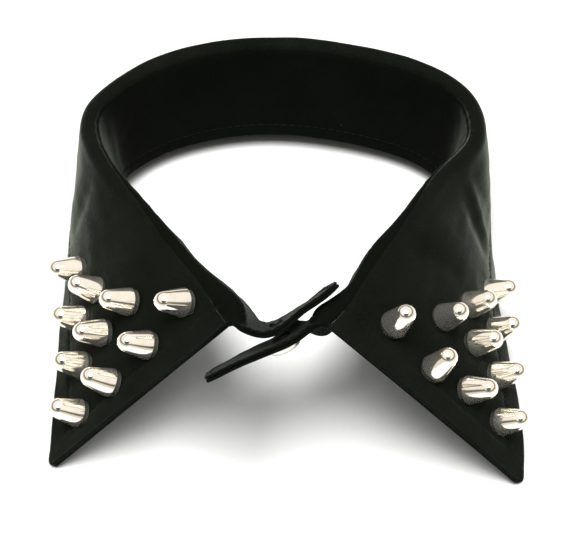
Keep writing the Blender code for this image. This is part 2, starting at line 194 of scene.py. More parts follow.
# Studs: the outline from the base, and the places, as in the solids. A skirt goes down into the cloth.
OUTLINE_COLUMNS = ("radius", "height")
STUD_OUTLINE = (
    (3.8, -1.3),
    (4.0, -0.1),
    (4.12, 0.02),
    (4.15, 0.16),
    (4.13, 0.32),
    (3.85, 1.8),
    (2.8, 6.9),
    (2.67, 7.35),
    (2.45, 7.8),
    (2.16, 8.2),
    (1.8, 8.55),
    (1.39, 8.82),
    (0.93, 9.03),
    (0.45, 9.15),
)
STUD_COLUMNS = ("back", "down", "forward", "outward")
LEFT_STUDS = (
    (59, 34, 10, 3),
    (44, 30, -2, 0),
    (29, 21, -3, 12),
    (15, 7, 4, 14),
    (40, 41, 8, 1),
    (27, 35, 5, 12),
    (11, 24, 2, 14),
    (23, 48, 6, 4),
    (9, 41, -2, 10),
    (8, 56, 4, 7),
)
RIGHT_STUDS = (
    (56, 41, 8, 0),
    (42, 34, 7, -2),
    (29, 27, 12, -8),
    (14, 14, 1, -14),
    (42, 47, 12, -4),
    (30, 41, 10, 4),
    (11, 32, -4, -13),
    (26, 53, 10, 7),
    (13, 45, 9, 12),
    (12, 60, 11, 6),
)
BASE_LIFT = 4.1
SCREW_OUTLINE = (
    (3.3, -0.6),
    (3.6, -0.1),
    (3.62, 0.25),
    (3.5, 0.62),
    (3.2, 0.92),
    (2.4, 1.12),
    (1.2, 1.2),
)
SIDES = 56
DIMPLE_DEPTH = 0.2
DIMPLE_REACH = 2.0

CAP_OUTLINE = (
    (4.0, -0.5),
    (4.4, -0.1),
    (4.5, 0.25),
    (4.46, 0.55),
    (4.2, 0.95),
    (3.6, 1.4),
    (2.7, 1.75),
    (1.6, 1.95),
    (0.7, 2.02),
)
BACK_OUTLINE = (
    (1.7, -0.4),
    (2.0, 0.0),
    (2.0, 0.35),
    (1.7, 0.7),
    (1.0, 0.82),
)
SOCKET_WIDTH = 2.8
BALL_WIDTH = 1.8
SNAP_PLAY = 0.4
SNAP_LEFT = (16.3, 17.5)
SNAP_RIGHT = (11.6, 14.0)


# Geometry of the cloth, as in the solids.


def unit(vectors):
    """The vectors at length 1."""
    return vectors / np.linalg.norm(vectors, axis=-1, keepdims=True)


def named(columns, rows):
    """The rows' columns by name, each as an array."""
    return {name: np.array([row[i] for row in rows], float) for i, name in enumerate(columns)}


def spline(knots, values, at):
    """A natural cubic spline through values at knots, read at the places in at."""
    flat = values.reshape(len(knots), -1)
    gaps = np.diff(knots)
    matrix = np.eye(len(knots))
    pull = np.zeros_like(flat)
    for i in range(1, len(knots) - 1):
        matrix[i, i - 1:i + 2] = gaps[i - 1], 2 * (gaps[i - 1] + gaps[i]), gaps[i]
        pull[i] = 6 * ((flat[i + 1] - flat[i]) / gaps[i] - (flat[i] - flat[i - 1]) / gaps[i - 1])
    curve = np.linalg.solve(matrix, pull)
    i = np.clip(np.searchsorted(knots, at) - 1, 0, len(knots) - 2)
    after = (at - knots[i])[:, None]
    before = (knots[i + 1] - at)[:, None]
    gap = gaps[i][:, None]
    made = (curve[i] * before ** 3 + curve[i + 1] * after ** 3) / (6 * gap)
    made += (flat[i] / gap - curve[i] * gap / 6) * before
    made += (flat[i + 1] / gap - curve[i + 1] * gap / 6) * after
    return made.reshape((len(made),) + values.shape[1:])


def run_from_fold(crest, end, other, bend, belly):
    """The cloth from a fold's crest to its end: its length, and the point at a distance along it."""
    along = unit(unit(end - crest) - unit(other - crest))
    inward = unit(end - crest) + unit(other - crest)
    inward = unit(inward - along * (inward @ along))
    centre = crest + bend * inward
    ahead = (end - centre) @ along
    down = (end - centre) @ inward
    turn = math.atan2(down, ahead) + math.asin(bend / math.hypot(ahead, down))
    straight = math.sqrt(ahead ** 2 + down ** 2 - bend ** 2)
    way = math.cos(turn) * along + math.sin(turn) * inward
    out = math.sin(turn) * along - math.cos(turn) * inward

    def point(distance):
        if distance <= bend * turn:
            angle = distance / bend
            return centre + bend * (math.sin(angle) * along - math.cos(angle) * inward)
        part = (distance - bend * turn) / straight
        return centre + bend * out + part * straight * way + 4 * part * (1 - part) * belly * out

    return bend * turn + straight, point


def sections(leaf_parts, band_parts):
    """Each section's points at these fractions of the way from the seam: on the leaf, and up the band."""
    table = named(SECTION_COLUMNS, SECTIONS)
    middle = (len(SECTIONS) - 1) / 2
    band_rows = []
    leaf_rows = []
    for i, crest in enumerate(table["roll"]):
        front = abs(i - middle) / middle
        bend = BEND[0] + (BEND[1] - BEND[0]) * front
        belly = BELLY[0] + (BELLY[1] - BELLY[0]) * math.sin(math.pi * min(front, 0.9)) * front
        leaf_run, on_leaf = run_from_fold(crest, table["leaf"][i], table["band"][i], bend, belly)
        band_run, on_band = run_from_fold(crest, table["band"][i], table["leaf"][i], bend, 0)

        def across(place):
            return on_leaf(place) if place > 0 else on_band(-place)

        seam = table["seam"][i]
        leaf = seam + GAP / 2 + (leaf_run - seam - GAP / 2) * leaf_parts
        band = seam - GAP / 2 - (band_run + seam - GAP / 2) * band_parts
        leaf_rows.append([across(seam - BESIDE)] + [across(place) for place in leaf])
        band_rows.append([across(place) for place in band[::-1]] + [across(seam + BESIDE)])
    return np.array(band_rows), np.array(leaf_rows)


def tab_sections(rows, band_parts):
    """The tab's points from its lower edge to its upper one and one more beyond."""
    table = named(TAB_COLUMNS, rows)
    width = np.linalg.norm(table["near"] - table["far"], axis=1, keepdims=True)
    down = 1 - band_parts[::-1]
    places = [table["far"] + part * (table["near"] - table["far"]) for part in down]
    places.append(table["near"] + (table["near"] - table["far"]) * BESIDE / width)
    return np.array(places).swapaxes(0, 1)


def knots_along(points):
    """How far along each point is from the first."""
    return np.concatenate([[0], np.cumsum(np.linalg.norm(np.diff(points, axis=0), axis=1))])


def steps(length, from_start, from_end):
    """Distances from 0 to this length: fine steps this far in from each end, plain ones between."""
    start = np.linspace(0, from_start, 1 + round(from_start / FINE_STEP))
    plain = round((length - from_start - from_end) / PLAIN_STEP)
    middle = np.linspace(from_start, length - from_end, 1 + plain)
    end = np.linspace(length - from_end, length, 1 + round(from_end / FINE_STEP))
    return np.concatenate([start, middle[1:], end[1:]])


def tab_places(length):
    """Distances from the leaf along a tab of this length, closer together round its end."""
    plain = np.linspace(0, length - TAB_ROUND, 1 + round((length - TAB_ROUND) / TAB_STEP))
    turned = np.radians(np.linspace(0, 90, ROUND_COLUMNS + 1)[1:])
    return np.concatenate([plain[1:], length - TAB_ROUND + TAB_ROUND * np.sin(turned)])


def round_tab(column, left):
    """Draws a column of a tab together where it is this near the tab's end."""
    if left >= TAB_ROUND:
        return column
    inset = TAB_ROUND - math.sqrt(max(TAB_ROUND ** 2 - (TAB_ROUND - left) ** 2, 0))
    width = np.linalg.norm(column[-2] - column[0])
    parts = np.linalg.norm(column - column[0], axis=1) / width
    parts = inset / width + parts * (1 - 2 * inset / width)
    return column[0] + parts[:, None] * (column[-2] - column[0])


def round_corner(grid):
    """Rounds the corner where a sheet's first column meets its last row, in place."""
    reach = 16
    near = grid[:reach, -reach:]
    across = np.stack([knots_along(near[:, j]) for j in range(reach)], axis=1)
    down = np.stack([knots_along(near[i, ::-1])[::-1] for i in range(reach)], axis=0)
    inward = unit(np.gradient(near, axis=0))
    upward = -unit(np.gradient(near, axis=1))
    u = np.clip(1 - across / TIP_ROUND, 0, 1)
    v = np.clip(1 - down / TIP_ROUND, 0, 1)
    inside = (u > 0) & (v > 0)
    move_in = TIP_ROUND * (1 - u * np.sqrt(1 - v ** 2 / 2)) - across
    move_up = TIP_ROUND * (1 - v * np.sqrt(1 - u ** 2 / 2)) - down
    moved = near + move_in[..., None] * inward + move_up[..., None] * upward
    near[inside] = moved[inside]


def normals(grid):
    """The shown face's direction at each point: the neck's side of the band, the outside of the leaf."""
    return unit(np.cross(np.gradient(grid, axis=0), np.gradient(grid, axis=1)))


class Sheet:
    """A sheet of cloth: its middle surface, its shown face's direction, and its coordinates in the cloth."""

    def __init__(self, grid, out, wall, round_from, down):
        self.grid = grid
        self.out = out
        self.wall = wall
        self.round = np.broadcast_to(round_from[:, None], grid.shape[:2])
        self.down = down
        self.relief = np.zeros(grid.shape[:2])
        self.shape = grid.shape[:2]

    def face(self):
        """The points of the shown face."""
        return self.grid + self.out * (self.wall / 2 + self.relief)[..., None]

    def at(self, i, j):
        """The shown face's point and direction at a fractional column and row."""
        i = min(max(i, 0), self.shape[0] - 1.001)
        j = min(max(j, 0), self.shape[1] - 1.001)
        a, b = int(i), int(j)
        p, q = i - a, j - b
        weights = ((a, b, (1 - p) * (1 - q)), (a + 1, b, p * (1 - q)))
        weights += ((a, b + 1, (1 - p) * q), (a + 1, b + 1, p * q))
        face = self.face_points
        point = sum(w * face[c, r] for c, r, w in weights)
        out = sum(w * self.out[c, r] for c, r, w in weights)
        return point, unit(out)


def distance_to(points, line):
    """How far each point is from a line of points."""
    flat = points.reshape(-1, 3)
    best = np.full(len(flat), np.inf)
    for start, end in zip(line[:-1], line[1:]):
        way = end - start
        part = np.clip((flat - start) @ way / max(way @ way, 1e-9), 0, 1)
        best = np.minimum(best, np.linalg.norm(flat - start - part[:, None] * way, axis=1))
    return best.reshape(points.shape[:2])


def cloth():
    """The leaf's and the band's sheets, and what spots are read from."""
    leaf_parts = steps(LEAF_LENGTH, LEAF_SEAM_FINE, LEAF_EDGE_FINE) / LEAF_LENGTH
    band_parts = steps(BAND_LENGTH, BAND_SEAM_FINE, BAND_EDGE_FINE) / BAND_LENGTH
    band_rows, leaf_rows = sections(leaf_parts, band_parts)
    left_tab = tab_sections(LEFT_TAB, band_parts)[::-1]
    right_tab = tab_sections(RIGHT_TAB, band_parts)
    leaf_knots = knots_along(named(SECTION_COLUMNS, SECTIONS)["roll"])
    left_knots = -knots_along(np.concatenate([band_rows[:1], left_tab[::-1]])[:, -2])[1:][::-1]
    right_knots = leaf_knots[-1] + knots_along(np.concatenate([band_rows[-1:], right_tab])[:, -2])[1:]
    band_knots = np.concatenate([left_knots, leaf_knots, right_knots])
    band_table = np.concatenate([left_tab, band_rows, right_tab])

    front = leaf_knots[-1]
    columns = steps(front, LEAF_FRONT_FINE, LEAF_FRONT_FINE)
    left_columns = -tab_places(-band_knots[0])[::-1]
    right_columns = front + tab_places(band_knots[-1] - front)
    all_columns = np.concatenate([left_columns, columns, right_columns])
    leaf = spline(leaf_knots, leaf_rows, columns)
    band = spline(band_knots, band_table, all_columns)
    for i, column in enumerate(all_columns):
        band[i] = round_tab(band[i], min(column - band_knots[0], band_knots[-1] - column))
    sewn = slice(len(left_columns), len(left_columns) + len(columns))
    edge = leaf[:, 1] - unit(leaf[:, 0] - leaf[:, 1]) * SEAM_LAP
    weight = np.append((1 - band_parts[::-1] ** (1 / PULL_POWER)) ** 3, 1)
    band[sewn] += weight[:, None] * (edge - band[sewn, -2])[:, None]
    for column in leaf[:, -1]:
        if column[2] < RESTS_BELOW:
            column[2] = 0
    band_out = normals(band)[:, :-1]
    leaf_out = normals(leaf)[:, 1:]
    leaf_out[:, 0] = band_out[sewn, -1]
    round_corner(leaf)
    round_corner(leaf[::-1])
    leaf, band = leaf[:, 1:], band[:, :-1]
    leaf_down = np.stack([knots_along(column) for column in leaf])
    band_down = np.stack([knots_along(column[::-1])[::-1] for column in band])
    leaf_sheet = Sheet(leaf, leaf_out, LEAF_WALL, columns, leaf_down)
    band_sheet = Sheet(band, band_out, BAND_WALL, all_columns, band_down)
    return leaf_sheet, band_sheet, (band_knots, band_table), (leaf_knots, leaf_rows)


def spot(knots, rows, place, down):
    """A point of the cloth's middle surface, this far round and across, and the way its shown face looks."""
    columns = spline(knots, rows, np.array([place - BESIDE, place, place + BESIDE]))
    found = []
    for column, step in ((0, 0), (2, 0), (1, -BESIDE), (1, BESIDE), (1, 0)):
        across = knots_along(columns[column])
        line = columns[column]
        found.append(np.array([np.interp(down + step, across, line[:, axis]) for axis in range(3)]))
    return found[4], unit(np.cross(found[1] - found[0], found[3] - found[2]))


# Relief of the cloth.


def smooth(value, low, high):
    """0 below low and 1 above high, with a soft step between."""
    part = np.clip((value - low) / (high - low), 0, 1)
    return part * part * (3 - 2 * part)


def waves(round_from, down, length, seed, count=7):
    """Uneven soft waves from about -1 to 1, of about this length each way."""
    draw = random.Random(seed)
    total = np.zeros_like(round_from, dtype=float)
    for _ in range(count):
        way = draw.uniform(0, math.tau)
        pitch = length * draw.uniform(0.65, 1.6)
        phase = draw.uniform(0, math.tau)
        total += np.sin(math.tau * (math.cos(way) * round_from + math.sin(way) * down) / pitch + phase)
    return total / math.sqrt(count)


def puckers(round_from, length, seed):
    """Uneven ripples along a seam."""
    draw = random.Random(seed)
    total = np.zeros_like(round_from, dtype=float)
    for _ in range(5):
        pitch = length * draw.uniform(0.7, 1.5)
        total += np.sin(math.tau * round_from / pitch + draw.uniform(0, math.tau))
    return total / 2.2


def creases(sheet, table):
    """The height of the creases in this table."""
    rows = named(CREASE_COLUMNS, table)
    total = np.zeros(sheet.shape)
    for i in range(len(table)):
        turn = math.radians(rows["turn"][i])
        there = sheet.round - rows["round"][i]
        lower = sheet.down - rows["down"][i]
        along = there * math.cos(turn) + lower * math.sin(turn)
        across = lower * math.cos(turn) - there * math.sin(turn)
        across = across + 0.12 * rows["width"][i] * np.sin(along / 5.0 + i)
        soft = np.exp(-(across / rows["width"][i]) ** 2 - (along / (rows["length"][i] / 2)) ** 4)
        total += rows["height"][i] * soft
    return total


def stitched(distance, run, at, seed):
    """The relief of topstitching this far in from an edge: the allowance, the sunken line and its puckers."""
    height = ALLOWANCE_HEIGHT * (1 - smooth(distance, at - 1.6, at - 0.5))
    line = STITCH_DEPTH * np.exp(-((distance - at) / STITCH_WIDTH) ** 2)
    near = np.exp(-((distance - at) / 3.2) ** 2)
    return height - line + PUCKER * near * puckers(run, 6.0, seed)


def leaf_relief(leaf, stud_points):
    """Shapes the leaf's shown face, and gives the distances that its stitching is placed by."""
    left = distance_to(leaf.grid, leaf.grid[0])
    right = distance_to(leaf.grid, leaf.grid[-1])
    outer = distance_to(leaf.grid, leaf.grid[::2, -1])
    edge = np.minimum(np.minimum(left, right), outer)
    run = np.where(outer < np.minimum(left, right), leaf.round, leaf.down * 1.3)
    leaf.relief += stitched(edge, run, LEAF_STITCH, 11)
    leaf.relief += creases(leaf, LEAF_CREASES) * smooth(edge, 1.0, 6.0) * smooth(leaf.down, 2.0, 9.0)
    leaf.relief += 0.20 * waves(leaf.round, leaf.down, 34.0, 5) * smooth(leaf.down, 2.0, 10.0)
    leaf.relief += 0.06 * waves(leaf.round, leaf.down, 9.0, 6) * smooth(leaf.down, 1.0, 4.0)
    leaf.relief += 0.07 * puckers(leaf.round, 4.6, 7) * np.exp(-(leaf.down / 3.0) ** 2)
    leaf.relief -= 0.35 * np.exp(-(leaf.down / 0.7) ** 2)
    for point in stud_points:
        reach = np.linalg.norm(leaf.grid - point, axis=-1)
        leaf.relief -= DIMPLE_DEPTH * np.exp(-(np.maximum(reach - 3.9, 0) / DIMPLE_REACH) ** 2)
        leaf.relief += 0.04 * np.exp(-((reach - 8.0) / 1.8) ** 2)
    return left, right, outer


def band_relief(band, last):
    """Shapes the band's shown face, and gives the distances that its stitching is placed by."""
    lower = distance_to(band.grid, band.grid[::2, 0])
    upper = distance_to(band.grid, band.grid[::2, -1])
    ends = np.minimum(distance_to(band.grid, band.grid[0]), distance_to(band.grid, band.grid[-1]))
    beyond = np.maximum(-band.round, band.round - last)
    on_tab = smooth(beyond, -1.0, 2.0)
    edge = np.minimum(np.minimum(lower, ends), np.where(on_tab > 0, upper, 99))
    band.relief += (1 - on_tab) * stitched(lower, band.round, BAND_STITCH, 21)
    band.relief += on_tab * 0.8 * stitched(edge, band.round + band.down, TAB_STITCH, 22)
    inner = smooth(lower, 1.0, 5.0) * smooth(upper, 1.0, 5.0) * (1 - on_tab)
    band.relief += creases(band, BAND_CREASES) * inner
    band.relief += 0.16 * waves(band.round, band.down, 30.0, 8) * inner
    band.relief += 0.05 * waves(band.round, band.down, 8.0, 9) * (1 - 0.6 * on_tab)
    band.relief += (1 - on_tab) * 0.07 * puckers(band.round, 4.6, 7) * np.exp(-(band.down / 3.0) ** 2)
    band.relief -= (1 - on_tab) * 0.35 * np.exp(-(band.down / 0.7) ** 2)
    return lower, edge, on_tab


# Meshes.


def mesh_object(name, points, faces, finish, uv=None, sharp=50):
    """Makes an object of points in millimetres on the sections' axes."""
    mesh = bpy.data.meshes.new(name)
    moved = (np.asarray(points) + np.array(TO_MIDDLE)) * MM
    mesh.from_pydata(moved.tolist(), [], faces)
    mesh.validate()
    mesh.shade_smooth()
    mesh.set_sharp_from_angle(angle=math.radians(sharp))
    mesh.materials.append(finish)
    if uv is not None:
        layer = mesh.uv_layers.new(name="cloth")
        corners = np.zeros(len(mesh.loops), dtype=np.int32)
        mesh.loops.foreach_get("vertex_index", corners)
        layer.uv.foreach_set("vector", (np.asarray(uv)[corners] * MM).astype(np.float32).ravel())
    made = bpy.data.objects.new(name, mesh)
    bpy.context.scene.collection.objects.link(made)
    return made


def rim_of(columns, rows):
    """The sheet's boundary as column and row, in order round it."""
    rim = [(i, 0) for i in range(columns)]
    rim += [(columns - 1, j) for j in range(1, rows)]
    rim += [(i, rows - 1) for i in range(columns - 2, -1, -1)]
    rim += [(0, j) for j in range(rows - 2, 0, -1)]
    return np.array(rim)


def shell(name, sheet, finish):
    """The sheet as a closed wall with its two layers rounded over at the edges."""
    columns, rows = sheet.shape
    rim = rim_of(columns, rows)
    middle = sheet.grid[rim[:, 0], rim[:, 1]]
    out = sheet.out[rim[:, 0], rim[:, 1]]
    raised = sheet.relief[rim[:, 0], rim[:, 1]]
    tangent = unit(np.roll(middle, -1, axis=0) - np.roll(middle, 1, axis=0))
    outward = unit(np.cross(tangent, out))
    half = sheet.wall / 2
    profile = named(RIM_COLUMNS, RIM)
    across = np.concatenate([profile["across"], -profile["across"][-2::-1]])
    outs = np.concatenate([profile["outward"], profile["outward"][-2::-1]])
    rings = []
    for a, b in zip(across, outs):
        rise = a * (half + (raised if a > 0 else 0))
        rings.append(middle + out * np.broadcast_to(rise, len(rim))[:, None] + outward * (b * half))
    shown = sheet.face()
    hidden = sheet.grid - sheet.out * half + sheet.out * (0.6 * sheet.relief)[..., None]
    shown[rim[:, 0], rim[:, 1]] = rings[0]
    hidden[rim[:, 0], rim[:, 1]] = rings[-1]
    sheet.face_points = shown
    rings = rings[1:-1]
    points = np.concatenate([shown.reshape(-1, 3), hidden.reshape(-1, 3)] + rings)
    points[:, 2] = np.maximum(points[:, 2], 0)
    other = columns * rows
    index = np.arange(other).reshape(columns, rows)
    quads = np.stack([index[:-1, :-1], index[1:, :-1], index[1:, 1:], index[:-1, 1:]], axis=-1).reshape(-1, 4)
    faces = quads.tolist() + (other + quads[:, ::-1]).tolist()
    first = index[rim[:, 0], rim[:, 1]]
    loops = [first] + [2 * other + k * len(rim) + np.arange(len(rim)) for k in range(len(rings))]
    loops.append(first + other)
    for near, far in zip(loops, loops[1:]):
        faces += np.stack([np.roll(near, -1), near, far, np.roll(far, -1)], axis=1).tolist()
    flat = np.stack([sheet.round, sheet.down], axis=-1).reshape(-1, 2)
    uv = np.concatenate([flat, flat + [0, 200]] + [flat[first] for _ in rings])
    return mesh_object(name, points, faces, finish, uv)


def resampled(points, outs, pitch):
    """Points and directions at even steps along a line."""
    run = knots_along(points)
    places = np.linspace(0, run[-1], 1 + max(round(run[-1] / pitch), 1))
    at = np.stack([np.interp(places, run, points[:, axis]) for axis in range(3)], axis=1)
    out = np.stack([np.interp(places, run, outs[:, axis]) for axis in range(3)], axis=1)
    return at, unit(out)


def stitches(name, lines, finish, seed):
    """Rows of thread stitches along these lines of (points, directions)."""
    draw = random.Random(seed)
    points = []
    faces = []
    sides = 6
    along_parts = (-0.5, -0.42, -0.2, 0.0, 0.2, 0.42, 0.5)
    heights = (-0.35, 0.0, 0.1, 0.13, 0.1, 0.0, -0.35)
    widths = (0.5, 0.9, 1.0, 1.0, 1.0, 0.9, 0.5)
    for line, outs in lines:
        at, out = resampled(line, outs, STITCH_PITCH)
        for i in range(len(at) - 1):
            middle = (at[i] + at[i + 1]) / 2
            way = unit(at[i + 1] - at[i])
            up = unit(out[i] + out[i + 1])
            side = unit(np.cross(up, way))
            way = unit(way + side * draw.uniform(-0.07, 0.07))
            length = STITCH_LENGTH * draw.uniform(0.93, 1.05)
            start = len(points)
            for part, height, width in zip(along_parts, heights, widths):
                centre = middle + way * (part * length) + up * (height - 0.02)
                for k in range(sides):
                    angle = math.tau * k / sides
                    spoke = math.cos(angle) * side * 1.15 + math.sin(angle) * up * 0.85
                    points.append(centre + spoke * THREAD_RADIUS * width)
            for ring in range(len(along_parts) - 1):
                for k in range(sides):
                    a = start + ring * sides + k
                    b = start + ring * sides + (k + 1) % sides
                    faces.append((a, b, b + sides, a + sides))
            faces.append(tuple(start + k for k in reversed(range(sides))))
            last = start + (len(along_parts) - 1) * sides
            faces.append(tuple(last + k for k in range(sides)))
    return mesh_object(name, points, faces, finish)


def leaf_stitch_lines(leaf, left, right, outer):
    """The leaf's topstitching: down the left front edge, along the outer edge and up the right one."""
    columns, rows = leaf.shape
    at = LEAF_STITCH
    fronts = []
    reach = 40
    for field, step in ((left, 1), (right, -1)):
        found = []
        ordered = field[::step][:reach]
        below = outer[::step][:reach]
        for j in range(rows):
            i = np.interp(at, ordered[:, j], np.arange(reach))
            if np.interp(i, np.arange(reach), below[:, j]) >= at:
                found.append(leaf.at(i if step > 0 else columns - 1 - i, j))
        fronts.append(found)
    bottom = []
    for i in range(columns):
        j = np.interp(-at, -outer[i], np.arange(rows))
        close = min(np.interp(j, np.arange(rows), left[i]), np.interp(j, np.arange(rows), right[i]))
        if close >= at:
            bottom.append(leaf.at(i, j))
    line = fronts[0] + bottom + fronts[1][::-1]
    return [(np.array([p for p, _ in line]), np.array([o for _, o in line]))]


def band_stitch_lines(band, lower, edge, on_tab):
    """The band's stitching: along its lower edge between the tabs, and round each tab."""
    columns, rows = band.shape
    lines = []
    sewn = [i for i in range(columns) if on_tab[i, 0] == 0]
    found = [band.at(i, np.interp(BAND_STITCH, lower[i], np.arange(rows))) for i in sewn]
    lines.append(found)
    for tab in ([i for i in range(columns) if i <= sewn[0]], [i for i in range(columns) if i >= sewn[-1]]):
        ordered = tab if tab[0] else tab[::-1]
        middle = rows // 2
        far = []
        near = []
        for i in ordered:
            if edge[i].max() > TAB_STITCH:
                low = np.interp(TAB_STITCH, edge[i, :middle], np.arange(middle))
                high = np.interp(TAB_STITCH, edge[i, :middle:-1], np.arange(rows - 1, middle, -1))
                far.append(band.at(i, low))
                near.append(band.at(i, high))
        lines.append(far + near[::-1])
    return [(np.array([p for p, _ in line]), np.array([o for _, o in line])) for line in lines]


def lathe(points, faces, outline, foot, axis, seed, facets=0.0):
    """Adds a turned solid to points and faces. facets is how far its side departs from round."""
    draw = random.Random(seed)
    rows = named(OUTLINE_COLUMNS, outline)
    turn = np.array(Vector(axis).to_track_quat("Z", "X").to_matrix())
    terms = [(draw.randint(3, 11), draw.uniform(0, math.tau), draw.uniform(0.4, 1.0)) for _ in range(4)]
    start = len(points)
    for radius, height in zip(rows["radius"], rows["height"]):
        for k in range(SIDES):
            angle = math.tau * k / SIDES
            uneven = sum(size * math.sin(n * angle + phase) for n, phase, size in terms)
            wide = radius * (1 + facets * uneven)
            local = np.array((wide * math.cos(angle), wide * math.sin(angle), height))
            points.append(np.asarray(foot) + turn @ local)
    for ring in range(len(outline) - 1):
        for k in range(SIDES):
            a = start + ring * SIDES + k
            b = start + ring * SIDES + (k + 1) % SIDES
            faces.append((a, b, b + SIDES, a + SIDES))
    points.append(np.asarray(foot) + turn @ np.array((0, 0, rows["height"][0])))
    points.append(np.asarray(foot) + turn @ np.array((0, 0, rows["height"][-1] + 0.02)))
    last = start + (len(outline) - 1) * SIDES
    for k in range(SIDES):
        following = (k + 1) % SIDES
        faces.append((start + following, start + k, len(points) - 2))
        faces.append((last + k, last + following, len(points) - 1))


def stud_places(side, table, knots, rows, last):
    """Each stud's point on the cloth, the cloth's direction there, and the stud's axis."""
    values = named(STUD_COLUMNS, table)
    places = []
    for i in range(len(table)):
        place_round = values["back"][i] if side == "left" else last - values["back"][i]
        point, out = spot(knots, rows[:, 1:], place_round, values["down"][i])
        ahead, _ = spot(knots, rows[:, 1:], place_round, values["down"][i] + BESIDE)
        outward = unit(ahead - point)
        forward = np.cross(out, outward) if side == "left" else np.cross(outward, out)
        lean = np.tan(np.radians([values["forward"][i], values["outward"][i]]))
        places.append((point, out, unit(out + lean[0] * forward + lean[1] * outward)))
    return places


# Materials.


def new_material(name):
    """An empty node material with its shader and the node tree's helpers."""
    made = bpy.data.materials.new(name)
    made.use_nodes = True
    tree = made.node_tree
    return made, tree, tree.nodes["Principled BSDF"]


def node(tree, kind, **values):
    """Adds a node, with its inputs and settings by name."""
    made = tree.nodes.new(kind)
    for name, value in values.items():
        if name in made.inputs.keys():
            made.inputs[name].default_value = value
        elif name.replace("_", " ") in made.inputs.keys():
            made.inputs[name.replace("_", " ")].default_value = value
        else:
            setattr(made, name, value)
    return made


def maths(tree, operation, first, second=None):
    """A Math node on sockets or numbers."""
    made = tree.nodes.new("ShaderNodeMath")
    made.operation = operation
    for socket, value in zip(made.inputs, (first, second)):
        if value is None:
            continue
        if isinstance(value, (int, float)):
            socket.default_value = value
        else:
            tree.links.new(value, socket)
    return made.outputs[0]


def ramp(tree, value, low, high, low_colour, high_colour):
    """A colour between two as value goes from low to high."""
    made = tree.nodes.new("ShaderNodeMix")
    made.data_type = "RGBA"
    spread = tree.nodes.new("ShaderNodeMapRange")
    spread.inputs["From Min"].default_value = low
    spread.inputs["From Max"].default_value = high
    tree.links.new(value, spread.inputs["Value"])
    tree.links.new(spread.outputs["Result"], made.inputs["Factor"])
    made.inputs["A"].default_value = (*low_colour, 1) if isinstance(low_colour, tuple) else (0, 0, 0, 1)
    if not isinstance(low_colour, tuple):
        tree.links.new(low_colour, made.inputs["A"])
    made.inputs["B"].default_value = (*high_colour, 1)
    return made.outputs["Result"]


def cloth_material(name, dark, light, sheen):
    """Fine plain-woven black cloth: its yarns, their unevenness, a soft sheen and a little lint."""
    made, tree, shader = new_material(name)
    flat = node(tree, "ShaderNodeUVMap", uv_map="cloth")
    place = node(tree, "ShaderNodeMapping", Scale=(1000, 1000, 1000))
    tree.links.new(flat.outputs["UV"], place.inputs["Vector"])
    where = place.outputs["Vector"]

    def noise(scale, detail, roughness=0.5, stretch=None):
        made_noise = node(tree, "ShaderNodeTexNoise", Scale=scale, Detail=detail, Roughness=roughness)
        source = where
        if stretch:
            stretched = node(tree, "ShaderNodeMapping", Scale=stretch)
            tree.links.new(where, stretched.inputs["Vector"])
            source = stretched.outputs["Vector"]
        tree.links.new(source, made_noise.inputs["Vector"])
        return made_noise.outputs["Fac"]

    yarns = []
    for direction in ("X", "Y"):
        wave = node(tree, "ShaderNodeTexWave", Scale=0.62, Distortion=1.2, Detail=2.0, Detail_Scale=1.4)
        wave.bands_direction = direction
        tree.links.new(where, wave.inputs["Vector"])
        yarns.append(wave.outputs["Fac"])
    weave = maths(tree, "MULTIPLY", yarns[0], yarns[1])
    slub_across = noise(1.0, 2.0, stretch=(0.16, 2.2, 1.0))
    slub_down = noise(1.0, 2.0, stretch=(2.2, 0.16, 1.0))
    grain = noise(1.3, 3.0, 0.65)
    broad = noise(0.06, 3.0, 0.55)
    height = maths(tree, "ADD", maths(tree, "MULTIPLY", weave, 0.5), maths(tree, "MULTIPLY", grain, 0.7))
    height = maths(tree, "ADD", height, maths(tree, "MULTIPLY", slub_across, 0.5))
    height = maths(tree, "ADD", height, maths(tree, "MULTIPLY", slub_down, 0.5))
    bump = node(tree, "ShaderNodeBump", Strength=0.55, Distance=0.00022)
    tree.links.new(height, bump.inputs["Height"])
    tree.links.new(bump.outputs["Normal"], shader.inputs["Normal"])

    mottled = maths(tree, "ADD", maths(tree, "MULTIPLY", grain, 0.6), maths(tree, "MULTIPLY", broad, 0.4))
    colour = ramp(tree, mottled, 0.36, 0.64, dark, light)
    lint = node(tree, "ShaderNodeTexVoronoi", Scale=0.16, Randomness=1.0)
    tree.links.new(where, lint.inputs["Vector"])
    speck = maths(tree, "LESS_THAN", lint.outputs["Distance"], 0.022)
    rare = maths(tree, "GREATER_THAN", noise(0.05, 1.0), 0.53)
    mixed = node(tree, "ShaderNodeMix", data_type="RGBA")
    tree.links.new(maths(tree, "MULTIPLY", speck, rare), mixed.inputs["Factor"])
    tree.links.new(colour, mixed.inputs["A"])
    mixed.inputs["B"].default_value = (0.10, 0.10, 0.09, 1)
    tree.links.new(mixed.outputs["Result"], shader.inputs["Base Color"])
    rough = node(tree, "ShaderNodeMapRange")
    rough.inputs["To Min"].default_value = 0.72
    rough.inputs["To Max"].default_value = 0.95
    tree.links.new(grain, rough.inputs["Value"])
    tree.links.new(rough.outputs["Result"], shader.inputs["Roughness"])
    shader.inputs["Specular IOR Level"].default_value = 0.04
    shader.inputs["Sheen Weight"].default_value = sheen
    shader.inputs["Sheen Roughness"].default_value = 0.22
    shader.inputs["Sheen Tint"].default_value = (0.88, 0.96, 0.80, 1)
    return made


